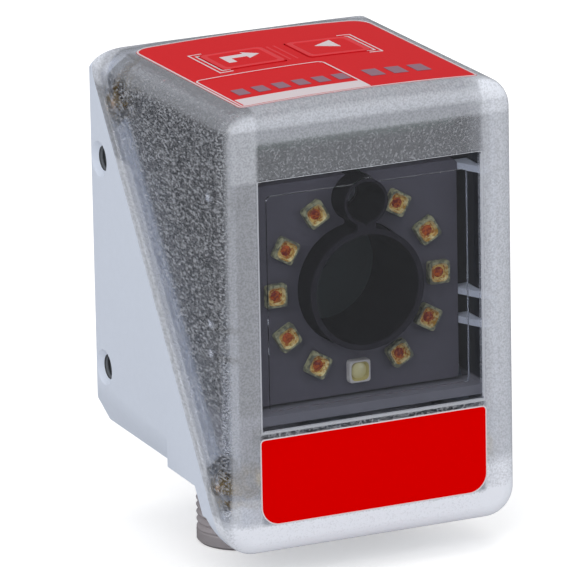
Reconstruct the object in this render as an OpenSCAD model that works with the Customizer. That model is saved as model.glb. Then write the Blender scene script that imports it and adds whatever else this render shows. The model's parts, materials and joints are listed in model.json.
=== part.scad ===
// Fixed barcode reader: a clear front hood on a cast rear housing, parted along a slanted seam.
// Millimetres, +Z up, front faces -Y. Z is zero at the lower ends of the two round connectors.

/* [Body] */
// Width across the side faces
body_w = 42.4; // [41:0.2:50]
// Depth from the front face to the rear face
body_d = 43.3; // [42:0.1:52]
// Height of the hood, from its lower edge to the crest of its crowned top
hood_h = 61; // [60:0.5:72]
// How far the connectors reach below the hood
connector_drop = 4.5; // [3:0.1:8]
// Distance of the seam's upper end below the top
seam_drop = 1.2; // [0.8:0.1:3]
// Distance of the seam's foot behind the front face
seam_setback = 2.2; // [2:0.1:3]

/* [Walls] */
// Wall of the hood's sides, top and lower edge
hood_wall = 2.4; // [2:0.1:2.8]
// Wall of the hood's front
front_wall = 1.9; // [1.6:0.1:2.2]
// Wall of the cast housing
cast_wall = 2.2; // [1.8:0.1:2.6]
// Thickness of the housing's flange behind the seam
flange_t = 3; // [2.6:0.1:3.4]

/* [Edges] */
// Radius of the corners seen from the front
corner_r = 4.2; // [3:0.1:5]
// Radius of the edge around the front face
front_edge_r = 2.2; // [1:0.1:2.2]
// Radius of the edge between the top and the rear face
rear_edge_r = 5.9; // [5:0.1:6.8]
// Radius of the gentle crown across the top
crown_r = 336; // [250:2:500]

/* [Window] */
// Distance of the polished window field from the sides
window_side_set = 5; // [4.4:0.1:5.6]
// Distance of the window field's lower edge from the hood's lower edge
window_low_set = 17; // [16.4:0.1:18]
// Distance of the window field's upper edge from the top
window_top_set = 10; // [9:0.1:11]
// Depth of the polished field below the front face
window_sink = 0.3; // [0.1:0.05:0.4]
// How much smaller the square recess behind the window is than the window's shorter side
pane_recess_trim = 3.2; // [2.8:0.1:4]
// Depth of the square recess behind the window
pane_recess_d = 0.45; // [0.2:0.05:0.6]

/* [Labels and keys] */
// Distance of the red foil's sides from the sides of the body
foil_side_set = 3.85; // [3.7:0.05:5]
// Distance of the red foil's front edge behind the front face
foil_setback = 2.6; // [2.4:0.1:3]
// Thickness of the foil and of the front label
foil_t = 0.25; // [0.15:0.05:0.35]
// Width of a key
key_w = 9.2; // [8:0.1:10.4]
// Length of a key
key_l = 8.4; // [8:0.1:9.6]
// Spacing of the two keys
key_pitch = 12.6; // [12:0.1:14]
// How far the pair of keys sits to the left of the middle
key_shift = 0.35; // [0:0.05:0.6]
// How far a key stands above the foil
key_rise = 0.1; // [0.05:0.05:0.4]
// How far a key travels
key_travel = 0.3; // [0.2:0.05:0.4]
// Distance of the red front label's sides from the sides of the body
label_side_set = 4.6; // [4.2:0.1:6]
// Height of the red front label
label_h = 12; // [10:0.1:12.6]
// Height of the front label's lower edge above the hood's lower edge
label_rise = 4.1; // [4:0.1:4.4]

/* [Optics] */
// How much smaller the square lamp board is than the window's shorter side
lamp_board_trim = 2.4; // [2.2:0.1:3.4]
// Distance of the lamp board's front behind the front face
lamp_board_set = 5.45; // [5.2:0.05:5.8]
// Radius of the ring of lamps as a share of the lamp board's side
ring_share = 0.3967; // [0.387:0.001:0.413]
// Side of a lamp package as a share of the lamp board's side
lamp_share = 0.1067; // [0.087:0.001:0.113]
// Height of a lamp package
lamp_t = 1; // [0.7:0.05:1.4]
// Outer radius of the camera tube as a share of the lamp board's side
tube_share = 0.275; // [0.254:0.001:0.28]
// Outer radius of the small aiming tube as a share of the lamp board's side
aim_share = 0.105; // [0.094:0.001:0.11]
// Wall of both tubes
tube_wall = 0.75; // [0.6:0.05:0.9]
// Depth of the camera tube, rim to aperture plate, as a share of the body's depth
tube_depth_share = 0.3233; // [0.3:0.001:0.346]

/* [Connectors] */
// Distance of each connector's axis from the middle as a share of the body's width
connector_share = 0.2288; // [0.217:0.001:0.235]
// Radius over the outer thread of the power connector
power_r = 6; // [5.8:0.1:6.2]
// Outer radius of the network connector
network_r = 7.25; // [7:0.05:7.5]
// Radius inside the network connector's thread
network_bore_r = 5.6; // [5.4:0.05:5.8]

/* [Fixing] */
// Radius of the threaded fixing holes in the sides
fix_hole_r = 1.65; // [1.4:0.05:1.8]
// Depth of the fixing holes
fix_hole_l = 6; // [5:0.5:7]
// Spacing of the two fixing holes on each side
fix_pitch = 29.2; // [26:0.1:30]
// Distance of the fixing holes from the rear face
fix_set = 3.5; // [3:0.1:4]
// Height of the lower fixing hole above the hood's lower edge
fix_rise = 16.3; // [16:0.1:18]
// Radius of the hood screws' threads
screw_r = 1.25; // [1.1:0.05:1.4]

/* [Hidden] */
$fn = 64;

// Overrun of every cut past the face it opens
over = 1;
// Fit between pieces that seat in each other, and the clearance around the moving keys
fit = 0.1;
key_gap = 0.15;

// Main planes
y_front = -body_d / 2;
y_rear = body_d / 2;
z_low = connector_drop;
z_top = connector_drop + hood_h;
window_w = body_w - 2 * window_side_set;
window_h = hood_h - window_low_set - window_top_set;
axis_z = z_low + window_low_set + window_h / 2;
window_side = min(window_w, window_h);
pane_recess_w = window_side - pane_recess_trim;
label_w = body_w - 2 * label_side_set;
connector_x = body_w * connector_share;
reach = 2 * (body_w + body_d + hood_h);

// Seam plane: s runs up along it from its foot, t stands on it towards the hood
foot = [y_front + seam_setback, z_low];
seam_angle = atan((hood_h - seam_drop) / (body_d - seam_setback));
seam_cos = cos(seam_angle);
seam_sin = sin(seam_angle);
function seam_y(z) = foot[0] + (z - foot[1]) * seam_cos / seam_sin;
function flange_y(z) = seam_y(z) + flange_t / seam_sin;

// Underside of the housing: a flat floor, a chamfer at the rear and the flange's lip in front
under_front_rise = 7.5;
under_rear_rise = 8.4;
side_rise = 12;
floor_rise = 10.5;
lip_rise = 4;
under_front = z_low + under_front_rise;
under_rear = z_low + under_rear_rise;
side_low = z_low + side_rise;
floor_z = z_low + floor_rise;
lip_z = z_low + lip_rise;
lip_w = 1;
under_set = 2;
band_in = 1.3;
band_share = 0.454;
band_front_y = y_front + band_share * body_d;
band_turn = 25;
cast_edge_r = 1.2;
crown_half = body_w / 2 - corner_r;
crown_sag = crown_r - sqrt(crown_r * crown_r - crown_half * crown_half);

// Seal, spigot and hood screws at the seam
seal_in = 0.8;
seal_w = 0.9;
seal_h = 0.8;
spigot_t = 1.3;
spigot_h = 4.5;
spigot_in = hood_wall + fit;
boss_r = 3.9;
boss_in = 4.6;
boss_x = body_w / 2 - boss_in;
boss_low_s = 9;
boss_end = 8.5;
boss_high_s = (y_rear - foot[0]) / seam_cos - boss_end;
boss_h = 7;
insert_r = 2;
insert_l = 4.6;
screw_gap = 0.2;
screw_clear_r = screw_r + screw_gap;
screw_head_r = 2.25;
screw_head_h = 2.1;
screw_reach = 4;
screw_seat = 1.6;
pocket_r = screw_head_r + 2 * screw_gap;

// Small marks on the foil: rims of colour that stand a hair above it
print_t = 0.04;
print_w = 0.45;
foil_front_r = 0.8;
foil_rear_r = 2.6;
foil_w = body_w - 2 * foil_side_set;
foil_l = body_d - foil_setback - rear_edge_r;
foil_y = y_front + foil_setback;
key_share = 0.6365;
key_y = foil_y + key_share * foil_l;
key_r = 0.6;
key_stem_r = 1.2;
frame_set = 0.45;
frame_w_share = 0.5418;
frame_l_share = 0.4339;
frame_x = [frame_set - foil_w / 2, frame_set - foil_w / 2 + frame_w_share * foil_w];
frame_y = [foil_y + frame_set, foil_y + frame_set + frame_l_share * foil_l];
strip_l = 2.85;
bracket_w = 0.9;
bracket_arm = 1.1;
lamp_row_count = 6;
lamp_row_share = 0.198;
lamp_row_y = foil_y + lamp_row_share * foil_l;
lamp_pitch_share = 0.0836;
lamp_row_pitch = lamp_pitch_share * foil_w;
lamp_row_x = frame_x[0] + lamp_row_pitch;
lamp_group_pitch_share = 0.0965;
lamp_group_pitch = lamp_group_pitch_share * foil_w;
lamp_group_x = frame_x[1] + lamp_group_pitch;
status_w = 1.9;
status_l = 1.3;
status_t = 0.8;
label_top_r = 0.7;
label_low_r = 2.7;

// Optics behind the window
rim_gap = 0.3;
rim_y = y_front + front_wall - pane_recess_d + rim_gap;
lamp_y = y_front + lamp_board_set;
lamp_board_w = window_side - lamp_board_trim;
ring_r = ring_share * lamp_board_w;
lamp_w = lamp_share * lamp_board_w;
tube_r = tube_share * lamp_board_w;
aim_r = aim_share * lamp_board_w;
tube_depth = tube_depth_share * body_d;
lamp_board_t = 1.6;
tube_flange_over = 1.75;
tube_flange_r = tube_r + tube_flange_over;
tube_flange_t = 1;
aim_depth = 9;
neck_half_share = 0.42;
tube_gap = 0.2;
plate_y = rim_y + tube_depth;
plate_t = 0.5;
pinhole_r = 0.65;
barrel_r = 3.5;
barrel_l = 2.8;
barrel_bore_r = 2.2;
glass_t = 1.2;
holder_w = 11;
holder_wall = 1.5;
sensor_gap = 4.4;
sensor_board_y = plate_y + plate_t + sensor_gap;
sensor_board_trim = 5;
sensor_board_w = lamp_board_w - sensor_board_trim;
sensor_board_t = 1.2;
sensor_w = 7;
sensor_t = 1;
rib_t = 0.9;
rib_rise_shares = [0.466, -0.123, -0.26];
rib_tip_in = 2;

// Liner behind the hood's walls
shield_gap = 0.5;
shield_t = 1.3;

// Boards and their carrier
carrier_w = lamp_board_w;
carrier_t = 1.5;
carrier_in = 3;
carrier_frame_t = 2;
carrier_rim = 4;
carrier_opening = carrier_w - 2 * carrier_rim;
ind_board_t = 1.2;
ind_board_drop = 6.1;
ind_board_top = z_top - ind_board_drop;
main_board_back_share = 0.292;
main_board_y = y_rear - main_board_back_share * body_d;
main_board_t = 1.6;
main_board_w = lamp_board_w;
main_board_rise = 7;
main_board_gap = 4.2;
main_board_low = floor_z + main_board_rise;
main_board_h = ind_board_top - ind_board_t - main_board_gap - main_board_low;
carrier_h = main_board_h - 2 * carrier_in;
standoff_r = 2.4;
standoff_in = 4;
small_screw_r = 1;
small_head_r = 1.9;
small_head_h = 1.3;
ind_board_over = 0.5;
ind_board_w = carrier_w + 2 * ind_board_over;
ind_board_share = 0.4497;
ind_board_y = foil_y + ind_board_share * foil_l;
ind_board_trim = 10.8;
ind_board_l = foil_l - ind_board_trim;
switch_w = 5;
switch_t = 1.6;
post_l = 4;
ribbon_t = 0.3;
ribbon_w = 8;
plug_w = 10;
plug_h = 3;
plug_t = 1.4;
ribbon_z = axis_z;

// Connectors
shell_flange_over = 0.95;
shell_flange_r = network_r + shell_flange_over;
shell_flange_t = 2;
seal_ring_t = 0.8;
power_bore_r = 5;
core_fit = 0.05;
thread_stop = 11.8;
neck_r = power_r - 2 * fit;
power_recess = 6.5;
pin_r = 0.4;
pin_tip_z = 1.5;
pin_ring_r = 3.5;
pin_ring_count = 9;
pin_inner_r = 1.4;
pin_inner_count = 3;
clamp_t = 1.5;
board_gap = 0.4;
insert_top = floor_z + seal_ring_t + shell_flange_t + clamp_t + board_gap;
network_core_r = 4.3;
network_recess = 8;
network_face_z = 1;
contact_r = 0.75;
contact_hole_r = 0.45;
contact_ring_r = 2.5;
contact_count = 4;
key_slot_w = 1.2;
key_slot_d = 0.7;
clamp_gap = 0.2;
clamp_w = body_w - 2 * (spigot_in + spigot_t + clamp_gap);
clamp_l = 12;
clamp_boss_r = 1.9;
connector_board_t = 1.2;
connector_board_w = clamp_w - 2 * clamp_gap;
connector_board_l = 9.6;
connector_board_z = insert_top;

// Colours, as the photograph shows them
cast_colour = "#BBC6D2";
clear_colour = [0.62, 0.64, 0.67, 0.45];
red_colour = "#D0131A";
dark_board = "#4A474F";
black_part = "#1E1B22";
brass_colour = "#C9A64E";
steel_colour = "#9FA3A8";
green_board = "#2F5B41";
cream_colour = "#E8DFC4";
connector_metal = "#A09A9E";

// Moves children onto the seam plane: x, s along the seam, t out of it
module on_seam() {
    translate([0, foot[0], foot[1]])
        rotate([seam_angle, 0, 0])
            children();
}

// Slab between two levels above the seam plane
module slab(t0, t1) {
    on_seam()
        translate([-reach / 2, -reach / 2, t0])
            cube([reach, reach, t1 - t0]);
}

// Extrudes a YZ drawing along X, centred
module along_x(w) {
    rotate([90, 0, 90])
        translate([0, 0, -w / 2])
            linear_extrude(w)
                children();
}

// Extrudes an XZ drawing along Y from y0 to y1
module along_y(y0, y1) {
    translate([0, y1, 0])
        rotate([90, 0, 0])
            linear_extrude(y1 - y0)
                children();
}

// Rounded rectangle with one radius below and another above, its lower edge at zero
module round_box(w, h, low_r, high_r) {
    for (side = [-1, 1]) {
        translate([side * (w / 2 - low_r), low_r])
            circle(low_r);
        translate([side * (w / 2 - high_r), h - high_r])
            circle(high_r);
    }
    translate([-w / 2, low_r])
        square([w, h - low_r - high_r]);
    translate([-w / 2 + low_r, 0])
        square([w - 2 * low_r, h / 2]);
    translate([-w / 2 + high_r, h / 2])
        square([w - 2 * high_r, h / 2]);
}

// Front view of the body, taken in by a wall: corners are arcs and the top is a long flat arc
module front_outline(in) {
    w = body_w - 2 * in;
    r = max(corner_r - in, corner_r / 4);
    translate([0, z_low + in])
        round_box(w, hood_h - crown_sag - 2 * in, r, r);
    intersection() {
        translate([0, z_top - crown_r])
            circle(crown_r - in, $fn = 256);
        translate([-crown_half, z_top - in - corner_r])
            square([2 * crown_half, 2 * corner_r]);
    }
}

// Side view of the body: straight edges, with an arc between top and rear
module side_outline() {
    intersection() {
        side_polygon();
        rear_rounding(0);
    }
}

// Side view of what lies below the arc between top and rear, taken in by a wall
module rear_rounding(in) {
    translate([y_front - over, z_low - over])
        square([body_d - rear_edge_r + over, hood_h + 2 * over]);
    translate([y_front - over, z_low - over])
        square([body_d + 2 * over, hood_h - rear_edge_r + over]);
    translate([y_rear - rear_edge_r, z_top - rear_edge_r])
        circle(rear_edge_r - in);
}

module side_polygon() {
    polygon([
        [y_front, z_low],
        [foot[0], z_low],
        [flange_y(lip_z) - lip_w, lip_z],
        [flange_y(lip_z), lip_z],
        [flange_y(under_front), under_front],
        [y_rear - under_set, under_rear],
        [y_rear, side_low],
        [y_rear, z_top],
        [y_front, z_top]
    ]);
}

// Side view of the hollow inside walls of the given thickness, past the seam by some below the floor
module hollow_outline(wall_in, front_in, past) {
    intersection() {
        rear_rounding(wall_in);
        polygon([
            [y_front + front_in, z_low + wall_in],
            [seam_y(z_low + wall_in) + past, z_low + wall_in],
            [seam_y(floor_z) + past, floor_z],
            [y_rear - wall_in - under_set, floor_z],
            [y_rear - wall_in, side_low + wall_in],
            [y_rear - wall_in, z_top - wall_in],
            [y_front + front_in, z_top - wall_in]
        ]);
    }
}

// Closed outer form of hood and housing together
module outer_block() {
    intersection() {
        along_x(body_w + 2 * over)
            side_outline();
        union() {
            along_y(y_front + front_edge_r, y_rear)
                front_outline(0);
            front_rounding();
        }
    }
}

// The front face's rounded rim: rolled edges along the sides and ring segments at the corners
module front_rounding() {
    er = front_edge_r;
    cx = body_w / 2 - corner_r;
    low_z = z_low + corner_r;
    high_z = z_top - crown_sag - corner_r;
    along_y(y_front, y_front + er)
        front_outline(er);
    translate([0, y_front + er, 0]) {
        for (side = [-1, 1]) {
            for (z = [low_z, high_z])
                translate([side * cx, 0, z])
                    rotate([90, 0, 0])
                        rotate_extrude()
                            rolled_edge(corner_r);
            translate([side * (body_w / 2 - er), 0, low_z])
                cylinder(r = er, h = high_z - low_z);
        }
        translate([-cx, 0, z_low + er])
            rotate([0, 90, 0])
                cylinder(r = er, h = 2 * cx);
        translate([0, 0, z_top - crown_r])
            crown_sector(cx)
                rolled_edge(crown_r);
    }
}

// Revolves a drawing about Y and keeps the stretch over the width of the top
module crown_sector(half) {
    intersection() {
        rotate([90, 0, 0])
            rotate_extrude($fn = 720)
                children();
        translate([-half, -front_edge_r, crown_r - 2 * corner_r])
            cube([2 * half, 2 * front_edge_r, 4 * corner_r]);
    }
}

// Disc section with a rounded rim, up to the given outer radius
module rolled_edge(outer) {
    inner = outer - front_edge_r;
    low = inner > corner_r ? inner - corner_r : 0;
    intersection() {
        union() {
            translate([inner, 0])
                circle(front_edge_r);
            translate([low, -front_edge_r])
                square([inner - low, 2 * front_edge_r]);
        }
        translate([low, -front_edge_r])
            square([outer, 2 * front_edge_r]);
    }
}

// Hollow inside a front wall and other walls of the given thickness, in both halves
module hollow(wall_in, front_in, past = fit) {
    intersection() {
        along_x(body_w - 2 * wall_in)
            hollow_outline(wall_in, front_in, past);
        along_y(y_front, y_rear)
            front_outline(wall_in);
    }
}

// Places children at the four hood screws
module at_screws() {
    for (side = [-1, 1])
        for (s = [boss_low_s, boss_high_s])
            on_seam()
                translate([side * boss_x, s, 0])
                    children();
}

// Plate that follows the crown, between two heights over its surface
module crown_layer(from, to) {
    intersection() {
        translate([0, y_rear, z_top - crown_r])
            rotate([90, 0, 0])
                difference() {
                    cylinder(r = crown_r + to, h = body_d, $fn = 256);
                    translate([0, 0, -over])
                        cylinder(r = crown_r + from, h = body_d + 2 * over, $fn = 256);
                }
        translate([0, 0, z_top - corner_r])
            linear_extrude(2 * corner_r)
                children();
    }
}

// Rectangle around a centre with small round corners
module pad(w, l, r) {
    translate([0, -l / 2])
        round_box(w, l, r, r);
}

// Outline of the foil, round at its rear corners
module foil_outline() {
    translate([0, foil_y])
        round_box(foil_w, foil_l, foil_front_r, foil_rear_r);
}

module at_key(side) {
    translate([side * key_pitch / 2 - key_shift, key_y])
        children();
}

// Places of the nine status lamps, a row of six and a group of three
function status_x(n) = n < lamp_row_count
    ? lamp_row_x + n * lamp_row_pitch
    : lamp_group_x + (n - lamp_row_count) * lamp_group_pitch;

// Clear hood: front, sides and top in one moulding
module front_hood() {
    color(clear_colour)
        difference() {
            union() {
                difference() {
                    intersection() {
                        outer_block();
                        slab(0, reach);
                    }
                    hollow(hood_wall, front_wall);
                }
                hood_bosses();
                hood_ribs(0);
            }
            seal_ring();
            at_screws()
                translate([0, 0, -over])
                    cylinder(r = insert_r, h = insert_l + over);
            hood_pockets();
        }
}

module hood_bosses() {
    intersection() {
        at_screws()
            cylinder(r = boss_r, h = boss_h);
        hollow(hood_wall / 2, front_wall / 2);
        slab(0, reach);
    }
}

// Gussets beside the window that the lamp board's edges sit against, grown by a gap
module hood_ribs(gap) {
    wall_x = body_w / 2 - hood_wall + gap;
    tip_x = lamp_board_w / 2 - gap;
    face_y = y_front + front_wall - gap;
    for (side = [-1, 1])
        for (share = rib_rise_shares)
            translate([0, 0, axis_z + share * pane_recess_w - gap])
                mirror([side < 0 ? 1 : 0, 0, 0])
                    linear_extrude(rib_t + 2 * gap)
                        polygon([
                            [wall_x + fit, face_y - fit],
                            [tip_x + rib_tip_in - fit, face_y - fit],
                            [tip_x + fit, lamp_y],
                            [tip_x + fit, lamp_y + lamp_board_t + gap],
                            [wall_x + fit, lamp_y + lamp_board_t + gap]
                        ]);
}

// Dark liner behind the hood's walls, open in front and behind, with a shelf below the lamp board
module light_shield() {
    side_in = hood_wall + shield_gap;
    front_in = front_wall + shield_gap;
    shelf_z = axis_z - lamp_board_w / 2 - shield_gap - shield_t;
    color("#2B2C31")
        difference() {
            union() {
                difference() {
                    hollow(side_in, front_in);
                    hollow(side_in + shield_t, front_wall);
                    linear_extrude(z_top)
                        translate([0, ind_board_y])
                            pad(ind_board_w + 2 * shield_gap, ind_board_l + 2 * shield_gap, key_r);
                }
                intersection() {
                    hollow(side_in, front_in);
                    translate([-reach / 2, y_front, shelf_z])
                        cube([reach, lamp_board_set + lamp_board_t, shield_t]);
                }
            }
            slab(-reach, spigot_h + shield_gap);
            hood_ribs(fit);
            at_screws()
                cylinder(r = boss_r + shield_gap, h = boss_h + shield_gap);
        }
}

// Window field, recesses for the foil and the label, key pockets and key holes
module hood_pockets() {
    along_y(y_front - over, y_front + window_sink)
        translate([0, axis_z - window_h / 2])
            round_box(window_w, window_h, key_r, key_r);
    along_y(y_front + front_wall - pane_recess_d, y_front + front_wall + over)
        translate([0, axis_z - pane_recess_w / 2])
            round_box(pane_recess_w, pane_recess_w, key_r, key_r);
    along_y(y_front + front_wall - pane_recess_d, y_front + front_wall + over)
        tube_outline(tube_gap);
    along_y(y_front - over, y_front + foil_t)
        label_outline();
    crown_layer(-foil_t, over)
        foil_outline();
    for (side = [-1, 1]) {
        crown_layer(-foil_t - key_rise - key_travel, over)
            at_key(side)
                pad(key_w + 2 * key_gap, key_l + 2 * key_gap, key_r);
        translate([0, 0, z_top - hood_wall - over])
            linear_extrude(hood_wall + over)
                at_key(side)
                    circle(key_stem_r + key_gap);
    }
}

module label_outline() {
    translate([0, z_low + label_rise])
        round_box(label_w, label_h, label_low_r, label_top_r);
}

// Rear housing, cast in one: floor, sides, rear wall, seam flange, spigot and bosses
module rear_housing() {
    color(cast_colour)
        difference() {
            union() {
                difference() {
                    intersection() {
                        cast_block();
                        slab(-reach, 0);
                    }
                    difference() {
                        hollow(cast_wall, front_wall, -fit);
                        rim_ring(-flange_t, over);
                    }
                }
                spigot();
                cast_bosses();
            }
            screw_cuts();
            fixing_cuts();
            connector_cuts();
        }
}

// Outer form of the housing with round rear edges and the drawn-in band along its foot
module cast_block() {
    difference() {
        intersection() {
            outer_block();
            linear_extrude(z_top + over)
                rear_edge_plan();
        }
        for (side = [0, 1])
            mirror([side, 0, 0])
                foot_band();
    }
}

module rear_edge_plan() {
    translate([0, y_front - over])
        round_box(body_w, body_d + over, corner_r / 4, cast_edge_r);
}

// Wedge that draws the side in below the side face, running out towards the front
module foot_band() {
    difference() {
        along_y(band_front_y, y_rear + over)
            polygon([
                [body_w / 2, side_low],
                [body_w / 2 + over, side_low],
                [body_w / 2 + over, z_low],
                [body_w / 2 - 2 * band_in, z_low],
                [body_w / 2 - band_in, under_rear]
            ]);
        translate([body_w / 2, band_front_y, z_low - over])
            rotate([0, 0, 90 + band_turn])
                translate([-reach / 2, 0, 0])
                    cube([reach, reach / 2, hood_h]);
    }
}

// Ring of wall between the outer form and the spigot's inner face
module rim_ring(t0, t1) {
    difference() {
        slab(t0, t1);
        hollow(spigot_in + spigot_t, front_wall + spigot_t, -fit);
    }
}

// Thin wall that stands on the housing's rim and centres the hood
module spigot() {
    difference() {
        intersection() {
            hollow(spigot_in, front_wall + fit);
            slab(-fit, spigot_h);
        }
        hollow(spigot_in + spigot_t, front_wall + spigot_t, 2 * fit);
        at_screws()
            cylinder(r = boss_r + fit, h = boss_h);
    }
}

// Screw bosses behind the flange, fixing bosses in the side walls and board standoffs
module cast_bosses() {
    intersection() {
        union() {
            at_screws()
                translate([0, 0, -2 * flange_t])
                    cylinder(r = boss_r, h = 2 * flange_t);
            for (side = [-1, 1])
                for (n = [0, 1])
                    translate([side * body_w / 2, y_rear - fix_set, z_low + fix_rise + n * fix_pitch])
                        rotate([0, -side * 90, 0])
                            cylinder(r = fix_set, h = fix_hole_l + cast_wall / 2);
        }
        cast_block();
        slab(-reach, 0);
    }
    at_standoffs()
        translate([0, main_board_y + main_board_t, 0])
            rotate([-90, 0, 0])
                cylinder(r = standoff_r, h = y_rear - cast_wall / 2 - main_board_y - main_board_t);
    for (side = [-1, 1])
        translate([0, side * (clamp_l / 2 + clamp_boss_r / 2), floor_z - fit])
            cylinder(r = clamp_boss_r, h = seal_ring_t + shell_flange_t + fit);
}

module at_standoffs() {
    for (side = [-1, 1])
        for (z = [main_board_low + standoff_in, main_board_low + main_board_h - standoff_in])
            translate([side * (main_board_w / 2 - standoff_in), 0, z])
                children();
}

// Clearance holes of the hood screws and round pockets for their heads
module screw_cuts() {
    at_screws() {
        translate([0, 0, -flange_t - over])
            cylinder(r = screw_clear_r, h = flange_t + 2 * over);
        translate([0, 0, -reach / 4])
            cylinder(r = pocket_r, h = reach / 4 - screw_seat);
    }
}

// Threaded fixing holes with a countersink, two in each side, and the tapped boss holes
module fixing_cuts() {
    sink = fix_hole_r / 2;
    for (side = [-1, 1])
        for (n = [0, 1])
            translate([side * body_w / 2, y_rear - fix_set, z_low + fix_rise + n * fix_pitch])
                rotate([0, -side * 90, 0]) {
                    translate([0, 0, -over])
                        cylinder(r = fix_hole_r, h = fix_hole_l + over);
                    translate([0, 0, -fit])
                        cylinder(r1 = fix_hole_r + sink + fit, r2 = fix_hole_r, h = sink + fit);
                }
    at_standoffs()
        translate([0, main_board_y, 0])
            rotate([-90, 0, 0])
                cylinder(r = small_screw_r, h = main_board_t + 3 * small_screw_r);
    for (side = [-1, 1])
        translate([0, side * (clamp_l / 2 + clamp_boss_r / 2), floor_z + fit])
            cylinder(r = small_screw_r, h = seal_ring_t + shell_flange_t);
}

module connector_cuts() {
    at_connector(-1)
        cylinder(r = power_r + fit, h = floor_z + over);
    at_connector(1)
        cylinder(r = network_r + fit, h = floor_z + over);
}

module at_connector(side) {
    translate([side * connector_x, 0, 0])
        children();
}

// Flat seal in a groove of the hood's rim
module seal_ring() {
    intersection() {
        difference() {
            hollow(seal_in, seal_in);
            hollow(seal_in + seal_w, seal_in + seal_w, 2 * fit);
        }
        slab(0, seal_h);
    }
}

module hood_seal() {
    color("#2A2C30")
        seal_ring();
}

// Four socket screws that pull the hood onto the housing
module hood_screws() {
    color(steel_colour)
        at_screws()
            socket_screw(screw_r, screw_head_r, screw_head_h, screw_seat, screw_reach);
}

// Screw along +Z with its head below: the shank passes a wall and reaches into the thread beyond
module socket_screw(r, head_r, head_h, wall_t, length) {
    difference() {
        union() {
            translate([0, 0, -wall_t])
                cylinder(r = r, h = wall_t + length);
            translate([0, 0, -wall_t - head_h])
                cylinder(r = head_r, h = head_h);
        }
        translate([0, 0, -wall_t - head_h - over])
            cylinder(r = head_r / 2, h = head_h / 2 + over, $fn = 6);
    }
}

// Brass inserts moulded into the hood's bosses, with a groove around the middle
module thread_inserts() {
    color(brass_colour)
        at_screws()
            difference() {
                cylinder(r = insert_r, h = insert_l);
                translate([0, 0, -over])
                    cylinder(r = screw_r, h = insert_l + 2 * over);
                translate([0, 0, insert_l / 2 - insert_l / 8])
                    difference() {
                        cylinder(r = insert_r + over, h = insert_l / 4);
                        cylinder(r = insert_r - insert_r / 8, h = insert_l / 4);
                    }
            }
}

// Red foil with openings for the keys and low rims of print
module top_foil() {
    color(red_colour)
        difference() {
            union() {
                crown_layer(-foil_t, 0)
                    foil_outline();
                crown_layer(-fit, print_t)
                    foil_print();
            }
            for (side = [-1, 1])
                crown_layer(-foil_t - over, over)
                    at_key(side)
                        pad(key_w + 2 * key_gap, key_l + 2 * key_gap, key_r);
        }
}

// Printed marks: a frame around the status lamps, a strip along its front and brackets at the keys
module foil_print() {
    difference() {
        plain_rect(frame_x, frame_y);
        plain_rect(frame_x + [print_w, -print_w], frame_y + [print_w + strip_l, -print_w]);
    }
    for (side = [-1, 1])
        at_key(side)
            mirror([side > 0 ? 1 : 0, 0, 0])
                bracket();
}

module plain_rect(xs, ys) {
    translate([xs[0], ys[0]])
        square([xs[1] - xs[0], ys[1] - ys[0]]);
}

// Square bracket along a key's left edge, with short arms past its two ends
module bracket() {
    translate([-key_w / 2 - bracket_w - 2 * key_gap, -key_l / 2 - bracket_w])
        difference() {
            square([bracket_w + bracket_arm, key_l + 2 * bracket_w]);
            translate([bracket_w, bracket_w - 2 * key_gap])
                square([key_w, key_l + 4 * key_gap]);
        }
}

// Key: a flat pad flush with the foil's opening, and a stem down to its switch
module key(side) {
    switch_top = ind_board_top + switch_t;
    color(red_colour)
        union() {
            crown_layer(-foil_t, key_rise)
                at_key(side)
                    pad(key_w, key_l, key_r);
            translate([0, 0, switch_top + key_travel])
                linear_extrude(z_top - foil_t / 2 - switch_top - key_travel)
                    at_key(side)
                        circle(key_stem_r);
        }
}

module enter_key() {
    key(-1);
}

module down_key() {
    key(1);
}

module key_switch(side) {
    color("#202226")
        translate([0, 0, ind_board_top])
            difference() {
                linear_extrude(switch_t)
                    at_key(side)
                        pad(switch_w, switch_w, key_r);
                translate([0, 0, switch_t - key_gap])
                    linear_extrude(over)
                        at_key(side)
                            difference() {
                                circle(key_stem_r + 2 * key_gap);
                                circle(key_stem_r + key_gap);
                            }
            }
}

module enter_switch() {
    key_switch(-1);
}

module down_switch() {
    key_switch(1);
}

module front_label() {
    color("#CC0000")
        along_y(y_front, y_front + foil_t)
            label_outline();
}

// Outline of the camera tube with the aiming tube above it, grown by a gap
module tube_outline(gap) {
    translate([0, axis_z]) {
        circle(tube_r + gap);
        translate([0, ring_r])
            circle(aim_r + gap);
        neck = aim_r * neck_half_share + gap;
        translate([-neck, 0])
            square([2 * neck, ring_r]);
    }
}

// Square lamp board with a keyhole opening for the tubes
module lamp_board() {
    color(dark_board)
        difference() {
            along_y(lamp_y, lamp_y + lamp_board_t)
                translate([0, axis_z - lamp_board_w / 2])
                    round_box(lamp_board_w, lamp_board_w, key_r, key_r);
            along_y(lamp_y - over, lamp_y + lamp_board_t + over)
                tube_outline(tube_gap);
        }
}

// Moves children to a place on the ring, counted from twelve o'clock in steps of 30 degrees
module on_ring(step) {
    translate([0, lamp_y, axis_z])
        rotate([0, step * 360 / 12, 0])
            translate([0, 0, ring_r])
                rotate([90, 0, 0])
                    children();
}

// Lamp package: a square base with a conical cup and a chip in it
module lamp_package(chip_w) {
    rim = lamp_w / 10;
    difference() {
        translate([-lamp_w / 2, -lamp_w / 2, 0])
            cube([lamp_w, lamp_w, lamp_t]);
        translate([0, 0, lamp_t / 2])
            cylinder(r1 = lamp_w / 2 - 3 * rim, r2 = lamp_w / 2 - rim + fit, h = lamp_t / 2 + fit);
    }
    translate([0, 0, lamp_t / 2 - fit])
        cylinder(r = chip_w / 2, h = lamp_t / 4 + fit);
}

// The ten red lamps take the ring's places from one to eleven, apart from the lowest
function red_step(n) = n < 6 ? n : n + 1;

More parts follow.
